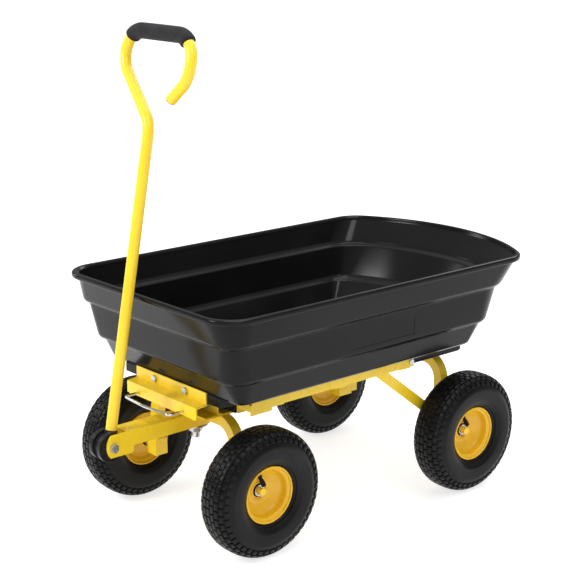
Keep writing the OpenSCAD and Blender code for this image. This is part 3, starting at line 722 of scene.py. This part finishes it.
# Heights and half widths in mm; front, rear and panel are along y from the front axle.
tubShape = {
    "rows": [  # height, half width, front, rear, front corner radius, rear corner radius
        [292, 181, -2, 625, 27, 15], [295, 184, -5, 628, 30, 18], [312, 184, -5, 628, 30, 18],
        [316, 211, -53, 629, 18, 22], [321, 217, -57.5, 635, 20, 26], [363, 230, -81, 664, 44, 42],
        [367, 237, -90, 673, 44, 46], [373, 241, -93.5, 681, 50, 58], [440, 246, -103, 714, 38, 92],
        [444, 253, -111, 726, 40, 94], [450, 258, -114, 729, 47, 98], [495, 266, -128, 762, 68, 86]],
    "lip": [
        [495, 272.5, -135.5, 768.5, 63, 70], [498, 274, -137, 770, 64, 71],
        [504, 274, -137, 770, 64, 71], [507, 271, -134, 767, 62, 69],
        [507, 265.5, -128.5, 761.5, 61, 70], [503, 262.6, -125.2, 759.4, 63, 80]],
    "skin": [4, -3.6, 3, -2.5, -3.6, -3.6],
    "bow": 430, "cornerSteps": 14, "bowSteps": 26, "softness": 3.2,
    "panelY": (204, 378), "panelZ": (383, 420), "panelDepth": 0.9, "panelEdge": 0.4,
    "columns": [110, 300, 440], "underLip": 496,
}


# Adds a row at each height, blended from the rows below and above it.
def withHeights(rows, heights):
    rows = [list(r) for r in rows]
    for height in heights:
        for i in range(len(rows) - 1):
            low, high = rows[i], rows[i + 1]
            if low[0] < height < high[0]:
                t = (height - low[0]) / (high[0] - low[0])
                rows.insert(i + 1, [a + (b - a) * t for a, b in zip(low, high)])
                break
    return rows


# One level of the tub: straight front and sides, rounded corners and a bowed rear.
def tubRing(row, columns):
    height, wide, front, rear, frontRound, rearRound = row
    bow, steps = tubShape["bow"], tubShape["cornerSteps"]
    middle = rear - bow
    cornerY = middle + math.sqrt((bow - rearRound) ** 2 - (wide - rearRound) ** 2)
    meet = math.atan2(cornerY - middle, wide - rearRound)
    half = [((wide - frontRound) * t, front) for t in (0, 0.25, 0.5, 0.75)]
    for k in range(steps + 1):
        a = -math.pi / 2 + math.pi / 2 * k / steps
        half.append((wide - frontRound + frontRound * math.cos(a),
                     front + frontRound + frontRound * math.sin(a)))
    half += [(wide, y) for y in columns]
    for k in range(steps + 1):
        a = meet * k / steps
        half.append((wide - rearRound + rearRound * math.cos(a), cornerY + rearRound * math.sin(a)))
    for k in range(1, tubShape["bowSteps"] + 1):
        a = meet + (math.pi / 2 - meet) * k / tubShape["bowSteps"]
        half.append((bow * math.cos(a), middle + bow * math.sin(a)))
    return [(x, y, height) for x, y in half] + [(-x, y, height) for x, y in half[-2:0:-1]]


# Presses the bare label panel into both sides of one outer level.
def pressed(ring, wide):
    y0, y1 = tubShape["panelY"]
    inset = tubShape["panelEdge"] / 2
    return [(x - math.copysign(tubShape["panelDepth"], x), y, z)
            if abs(abs(x) - wide) < 0.01 and y0 + inset < y < y1 - inset else (x, y, z)
            for x, y, z in ring]


def makeTub():
    shape = tubShape
    (y0, y1), (z0, z1) = shape["panelY"], shape["panelZ"]
    edge = shape["panelEdge"]
    columns = sorted(shape["columns"] + [y0, y0 + edge, y1 - edge, y1])
    outer = softened(shape["rows"] + shape["lip"], shape["softness"], 4)
    outer = withHeights(outer, [z0, z0 + edge, z1 - edge, z1])
    inner = [[a + b for a, b in zip(row, shape["skin"])] for row in shape["rows"]]
    inner = withHeights(softened(inner, shape["softness"], 4), [shape["underLip"]])[::-1]
    rings = [tubRing(row, columns) for row in outer + inner]
    for i, row in enumerate(outer):
        if z0 + edge / 2 < row[0] < z1 - edge / 2:
            rings[i] = pressed(rings[i], row[1])
    points, count = [point for ring in rings for point in ring], len(rings[0])
    faces = [tuple(range(count - 1, -1, -1)), tuple(range(len(points) - count, len(points)))]
    for i in range(len(rings) - 1):
        faces += [(i * count + k, i * count + (k + 1) % count,
                   (i + 1) * count + (k + 1) % count, (i + 1) * count + k) for k in range(count)]
    place = Matrix.Translation((0, frontAxle.y, 0))
    shell = meshFrom("tubShell", points, faces)
    shell.transform(place)
    finishPiece("moldedTub", shell, "tub_frame", tubPlastic, ["tub"], 38)
    foot = joinMeshes("tubFoot", makeFoot())
    foot.transform(place)
    finishPiece("tubFoot", foot, "tub_frame", tubPlastic, [], 0)


# Sections as (y, z) of the boss behind the latch plate and of the keel beside the latch.
footShape = {
    "boss": [(-59, 299), (-59, 318.5), (-56, 320.5), (-50, 317.6), (-20, 315.5), (-10, 314.6),
             (-10, 299)],
    "keel": [(-11, 275), (-11, 304), (-4, 304), (-4, 295), (8, 295), (8, 275)],
    "bossHalf": 158, "keelSpan": (40, 141), "bossRound": 2.0, "keelRound": 1.2,
}


def footBar(x0, x1, section, width):
    points = [(x, y, z) for x in (x0, x1) for y, z in section]
    n = len(section)
    faces = [tuple(range(n)), tuple(range(2 * n - 1, n - 1, -1))]
    faces += [(k, n + k, n + (k + 1) % n, (k + 1) % n) for k in range(n)]
    return roundedEdges(meshFrom("footBar", points, faces), width, 3, 20)


def makeFoot():
    s = footShape
    near, far = s["keelSpan"]
    return [footBar(-s["bossHalf"], s["bossHalf"], s["boss"], s["bossRound"]),
            footBar(near, far, s["keel"], s["keelRound"]),
            footBar(-far, -near, s["keel"], s["keelRound"])]


makeTub()
print("tub made")


handleShape = {
    "lean": 10.46, "tubeBack": 5.0, "barrel": 30.0, "stem": 626.0, "reach": 796.0, "loopHalf": 103.0,
    "tube": 11.0, "bends": [0, 60, 50, 46, 46, 55, 0],
    "hook": [(0, 92), (-45, 50)],  # the open end's last two points, from the loop's corner
}


# From the handle's own plane, x across and y up the stem, to the cart.
def handleMatrix():
    lean = Matrix.Rotation(-math.radians(handleShape["lean"]), 4, "X")
    back = Matrix.Translation((0, handleShape["tubeBack"] * mm, 0))
    return Matrix.Translation(handlePivot) @ lean @ back @ Matrix.Rotation(math.pi / 2, 4, "X")


def hookPoints():
    s = handleShape
    return [(s["loopHalf"] + x, s["stem"] + y) for x, y in s["hook"]]


def makeHandleTube():
    s = handleShape
    half, stem = s["loopHalf"], s["stem"]
    path = [(0, s["barrel"] + 1), (0, stem), (-half, stem + half), (-half, s["reach"]),
            (half, s["reach"])] + hookPoints()
    base = baseLine("handleLine", [(x, y, 0) for x, y in path], bend=[b * mm for b in s["bends"]])
    values = {"Radius": s["tube"] * mm, "Sides": 40, "Bend Steps": 14, "Material": yellowPaint}
    mesh = grown(barTree, base, **values)
    mesh.transform(handleMatrix())
    finishPiece("handleLoop", mesh, "handle", yellowPaint, ["handle_tube"])


gripShape = {
    "radius": 15.25, "swell": 0.25, "bend": 46.0, "endLength": 5.0, "endDrop": 3.2,
    "endStops": [0.7, 1.6, 2.8, 4.0], "bendSteps": 12, "runSteps": 20, "sides": 40,
}


def gripRadius(length, whole):
    s = gripShape
    end = min(length, whole - length) / s["endLength"]
    if end > 1:
        return s["radius"] + s["swell"] * math.sin(math.pi * length / whole)
    return s["radius"] - s["endDrop"] * (1 - end) ** 2.2


# The grip's middle line as (across, up, angle): half a bend, the top run, half a bend.
def gripLine():
    s = gripShape
    bend, steps = s["bend"], s["bendSteps"]
    flat, top = handleShape["loopHalf"] - bend, handleShape["reach"]

    def arc(x, start):
        angles = [math.radians(start + 45 * k / steps) for k in range(steps + 1)]
        return [(x + bend * math.cos(a), top - bend + bend * math.sin(a), a) for a in angles]

    run = [(flat * (1 - 2 * k / s["runSteps"]), top, math.pi / 2) for k in range(1, s["runSteps"])]
    return arc(flat, 45) + run + arc(-flat, 90)


# The sleeve: rings along the line, drawn in at both ends down to the tube.
def makeGrip():
    s, line = gripShape, gripLine()
    lengths = [0.0]
    for p, q in zip(line, line[1:]):
        lengths.append(lengths[-1] + math.dist(p[:2], q[:2]))
    whole = lengths[-1]
    stops = set([0.0, whole] + s["endStops"] + [whole - e for e in s["endStops"]] + lengths[1:-1])
    rings = []
    for at in sorted(stops):
        i = min(max(k for k in range(len(lengths)) if lengths[k] <= at + 1e-9), len(line) - 2)
        t = (at - lengths[i]) / (lengths[i + 1] - lengths[i])
        rings.append([a + (b - a) * t for a, b in zip(line[i], line[i + 1])] + [gripRadius(at, whole)])
    inner = handleShape["tube"] + 0.1
    rings = [rings[0][:3] + [inner]] + rings + [rings[-1][:3] + [inner]]
    points, faces, sides = [], [], s["sides"]
    for x, y, a, r in rings:
        for k in range(sides):
            b = 2 * math.pi * k / sides
            points.append((x + r * math.cos(b) * math.cos(a), y + r * math.cos(b) * math.sin(a),
                           r * math.sin(b)))
    last = (len(rings) - 1) * sides
    for i in range(0, last, sides):
        faces += [(i + k, i + (k + 1) % sides, i + sides + (k + 1) % sides, i + sides + k)
                  for k in range(sides)]
    faces.append(tuple(range(sides)))
    faces.append(tuple(last + k for k in range(sides - 1, -1, -1)))
    mesh = meshFrom("grip", points, faces)
    mesh.transform(handleMatrix())
    piece = finishPiece("foamGrip", mesh, "handle", foamSleeve, ["handle_grip"], 60)


# Along the tube's end as (along, radius): the part inside the tube, then the cap.
plugProfile = [(-18, 0), (-18, 9.3), (-0.2, 9.3), (-0.2, 11.0), (0.9, 11.0), (1.7, 10.2), (2.0, 8.5),
               (2.0, 0)]


def makeEndPlug():
    before, end = [Vector(p) for p in hookPoints()]
    way = (end - before).normalized()
    plug = turnedSolid("plug", softened(plugProfile, 0.4, 2), 40)
    plug.transform(handleMatrix() @ Matrix.Translation((end.x * mm, end.y * mm, 0))
                   @ Matrix.Rotation(math.atan2(way.y, way.x), 4, "Z"))
    finishPiece("endPlug", plug, "handle", pivotPlastic, ["handle_end_plug"])


barrelShape = {
    "half": 18.7, "cheek": 30.0, "waist": 24.0, "cheekWidth": 11.0, "bore": 5.05, "dish": 1.6,
    "collar": [(22, 0), (22, 13.2), (29, 13.0), (30.6, 12.4), (31, 11.4), (31, 0)],
}


# Two dished cheeks with a waist between them, and the collar that holds the tube's foot.
def makeBarrel():
    s = barrelShape
    face, dish, cheek = -s["half"], -s["half"] + s["dish"], s["cheek"]
    inner = face + s["cheekWidth"]
    profile = [(face, s["bore"]), (face, 13), (dish, 14.5), (dish, cheek - 4), (face, cheek - 2.6),
               (face, cheek), (inner, cheek), (inner, s["waist"])]
    profile += [(-x, r) for x, r in reversed(profile)]
    core = turnedRing("barrel", softened(profile, 0.8, 3, closed=True), 80)
    socket = turnedSolid("socket", softened(s["collar"], 0.6, 3), 40)
    socket.transform(Matrix.Translation((0, handleShape["tubeBack"] * mm, 0))
                     @ Matrix.Rotation(-math.pi / 2, 4, "Y"))
    mesh = joinMeshes("barrel", [core, socket])
    mesh.transform(Matrix.Translation(handlePivot)
                   @ Matrix.Rotation(-math.radians(handleShape["lean"]), 4, "X"))
    finishPiece("pivotBarrel", mesh, "handle", pivotPlastic, ["pivot_barrel"])


makeHandleTube()
makeGrip()
makeEndPlug()
makeBarrel()
print("handle made")


# Rounded copies of the folded and welded parts, and of the fasteners.
gear = [  # piece, node, body, edge round in mm, round segments
    ("rearArch", "rear_arch", "chassis", 1.7, 3),
    ("frontArch", "front_arch", "steering", 1.7, 3),
    ("spine", "centre_spine", "chassis", 1.0, 2),
    ("frontPlate", "front_plate", "chassis", 0.8, 2),
    ("keeper", "keeper_bracket", "chassis", 0.5, 2),
    ("rearBlocks", "rear_axle_blocks", "chassis", 1.0, 2),
    ("rearStubs", "rear_axle_stubs", "chassis", 0.8, 2),
    ("frontBlocks", "front_axle_blocks", "steering", 1.0, 2),
    ("frontStubs", "front_axle_stubs", "steering", 0.8, 2),
    ("drawbarChannel", "drawbar", "steering", 0.7, 2),
    ("rightRail", "rail_right", "tub_frame", 0.6, 2),
    ("leftRail", "rail_left", "tub_frame", 0.6, 2),
    ("rightBrace", "brace_right", "tub_frame", 0.6, 2),
    ("leftBrace", "brace_left", "tub_frame", 0.6, 2),
    ("cornerBrackets", "front_brackets", "tub_frame", 0.6, 2),
    ("straps", "cross_straps", "tub_frame", 0.6, 2),
    ("latchPlate", "latch_plate", "tub_frame", 0.7, 2),
]
fasteners = [
    ("kingpinBolt", "kingpin", "chassis", 0.6, 2),
    ("kingpinNut", "kingpin_nut", "chassis", 0.5, 2),
    ("thrustWasher", "thrust_washer", "chassis", 0.3, 2),
    ("rearRetainers", "rear_axle_retainers", "chassis", 0.4, 2),
    ("frontRetainers", "front_axle_retainers", "steering", 0.4, 2),
    ("handleBolt", "handle_bolt", "steering", 0.5, 2),
    ("tubBolts", "tub_bolts", "tub_frame", 0.5, 2),
    ("bailWashers", "bail_washers", "latch_bail", 0.3, 2),
]
for parts, material, slot in ((gear, yellowPaint, "yellow_paint"), (fasteners, zincPlate, "zinc")):
    for name, node, body, width, segments in parts:
        finishPiece(name, roundedCopy(node, width, segments), body, material, [node], 0)
for wheel in wheels:
    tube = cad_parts[wheel + "_inner_tube"]
    tube.data.materials.clear()
    tube.data.materials.append(tyreRubber)
print("running gear made")


bailShape = {
    "half": 74.0, "height": 278.5, "front": -121.0, "bow": -127.0, "tip": -14.0, "wire": 3.0,
    "corner": 10, "bowRadius": 150,
}


def makeBail():
    s = bailShape
    half, corner = s["half"], s["corner"] * mm
    path = [(-half, s["tip"]), (-half, s["front"]), (0, s["bow"]), (half, s["front"]),
            (half, s["tip"])]
    base = baseLine("bailLine", [(x, y, s["height"]) for x, y in path],
                    bend=[0, corner, s["bowRadius"] * mm, corner, 0])
    values = {"Radius": s["wire"] * mm, "Sides": 28, "Bend Steps": 10, "Material": polishedChrome}
    mesh = roundedEdges(grown(barTree, base, **values), 0.8, 3, 60)
    mesh.transform(Matrix.Translation((0, frontAxle.y, 0)))
    finishPiece("wireBail", mesh, "latch_bail", polishedChrome, ["bail"], 0)


springShape = {"coil": 4.9, "wire": 0.85, "turns": 7.0, "from": -82.6, "to": -31.0}


# On the cart the springs shorten towards their front ends as the bail is pulled; here each is built at
# one fixed length.
def makeSprings():
    s = springShape
    length = s["to"] - s["from"]
    values = {"Coil Radius": s["coil"] * mm, "Wire Radius": s["wire"] * mm, "Turns": s["turns"],
              "Length": (length - 2 * s["wire"]) * mm, "Steps": 24, "Wire Sides": 10,
              "Material": blackenedSteel}
    coil = grown(coilTree, bpy.data.meshes.new("coilBase"), **values)
    coil.transform(Matrix.Rotation(-math.pi / 2, 4, "X"))
    height, start = bailShape["height"] * mm, frontAxle.y + s["from"] * mm
    springs = []
    for side in (-1, 1):
        spring = coil.copy()
        spring.transform(Matrix.Translation((side * bailShape["half"] * mm, start + s["wire"] * mm,
                                             height)))
        springs.append(spring)
    piece = finishPiece("bailSprings", joinMeshes("springs", springs), "tub_frame", blackenedSteel,
                        ["bail_springs"], 60)
    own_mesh(piece)


makeBail()
makeSprings()
print("latch made")


weldShape = {"bead": 1.6, "spacing": 1.5, "half": 11.0, "inset": 11.4, "lift": 0.3, "seed": 3}


# A weld bead runs round each foot of an arch, where it meets its axle block.
def makeWelds(name, body, arch, blocks, axle):
    s = weldShape
    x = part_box(arch)[1].x / mm - s["inset"]
    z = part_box(blocks)[1].z / mm + s["lift"]
    corners = [(-1, -1), (1, -1), (1, 1), (-1, 1), (-1, -1)]
    beads = []
    for i, side in enumerate((-1, 1)):
        loop = [(side * x + s["half"] * sx, axle.y / mm + s["half"] * sy, z) for sx, sy in corners]
        values = {"Bead Radius": s["bead"] * mm, "Spacing": s["spacing"] * mm, "Seed": s["seed"] + i,
                  "Material": yellowPaint}
        beads.append(grown(weldTree, baseLine("weldLine", loop), **values))
    finishPiece(name, joinMeshes(name, beads), body, yellowPaint, [], 0)


makeWelds("rearWelds", "chassis", "rear_arch", "rear_axle_blocks", rearAxle)
makeWelds("frontWelds", "steering", "front_arch", "front_axle_blocks", frontAxle)
print("welds made")


floorLook = {
    "sockets": {"Roughness": 0.8, "Specular IOR Level": 0.1, "Emission Color": (1, 1, 1, 1),
                "Emission Strength": 0.72},
    "colours": [(0.54, 0.54, 0.54), (0.56, 0.56, 0.56)], "half": 60.0,
}


def makeFloor():
    half = floorLook["half"]
    pale = newMaterial("paleFloor", floorLook["sockets"])
    colourBy(pale, patternOn(pale, "noise", 3, 2), floorLook["colours"], 0.35, 0.65)
    mesh = bpy.data.meshes.new("floor")
    mesh.from_pydata([(-half, -half, 0), (half, -half, 0), (half, half, 0), (-half, half, 0)],
                     [], [(0, 1, 2, 3)])
    mesh.materials.append(pale)
    linkPiece("studioFloor", mesh)


studioLights = {  # place, target, size, watts
    "keyLight": ((-0.44, -2.3, 1.76), (0, 0.2, 0.4), (0.6, 0.5), 30),
    "topLight": ((0.2, 0.4, 3.6), (0, 0.1, 0.3), (2.4, 2.4), 68),
    "rightLight": ((2.67, -0.55, 3.04), (-0.2, 0.4, 0.4), (0.9, 1.0), 20),
    "lowLight": ((3.6, -1.9, 0.7), (0, 0, 0.5), (2.0, 1.0), 8),
    "leftLight": ((-2.7, -1.2, 1.2), (0, -0.2, 0.3), (0.5, 1.0), 11),
    "backLight": ((-0.8, 3.0, 2.6), (0, 0.2, 0.5), (2.0, 1.2), 28),
}


def addLight(name, place, target, size, power):
    data = bpy.data.lights.new(name, "AREA")
    data.shape = "RECTANGLE"
    data.size, data.size_y = size
    data.energy = power
    light = bpy.data.objects.new(name, data)
    bpy.context.scene.collection.objects.link(light)
    light.location = place
    light.rotation_mode = "QUATERNION"
    light.rotation_quaternion = (Vector(target) - Vector(place)).to_track_quat("-Z", "Y")


# A soft box of light: brighter overhead than round the sides.
worldLook = {"side": 0.18, "overhead": 0.95, "from": 0.05, "to": 0.9}


def makeWorld():
    world = bpy.data.worlds.new("studio")
    world.use_nodes = True
    tree = world.node_tree
    place = addNode(tree, "ShaderNodeTexCoord")
    parts = addNode(tree, "ShaderNodeSeparateXYZ")
    height = addNode(tree, "ShaderNodeMapRange", {
        "From Min": worldLook["from"], "From Max": worldLook["to"],
        "To Min": worldLook["side"], "To Max": worldLook["overhead"]})
    backdrop = tree.nodes["Background"]
    backdrop.inputs["Color"].default_value = (1, 1, 1, 1)
    tree.links.new(place.outputs["Generated"], parts.inputs["Vector"])
    tree.links.new(parts.outputs["Z"], height.inputs["Value"])
    tree.links.new(height.outputs["Result"], backdrop.inputs["Strength"])
    bpy.context.scene.world = world


cameraSettings = {"place": (2.294, -1.99125, 1.262), "azimuth": 49.183, "down": 15.022, "lens": 93.04}


def makeCamera():
    s = cameraSettings
    a, e = math.radians(s["azimuth"]), math.radians(s["down"])
    forward = Vector((-math.sin(a) * math.cos(e), math.cos(a) * math.cos(e), -math.sin(e)))
    data = bpy.data.cameras.new("studioCamera")
    data.lens, data.sensor_width = s["lens"], 36
    data.clip_end = 100
    camera = bpy.data.objects.new("studioCamera", data)
    bpy.context.scene.collection.objects.link(camera)
    camera.location = s["place"]
    camera.rotation_mode = "QUATERNION"
    camera.rotation_quaternion = forward.to_track_quat("-Z", "Y")
    bpy.context.scene.camera = camera


makeFloor()
makeWorld()
for name, settings in studioLights.items():
    addLight(name, *settings)
makeCamera()
bpy.context.scene.view_settings.view_transform = "Standard"
print("stage made")
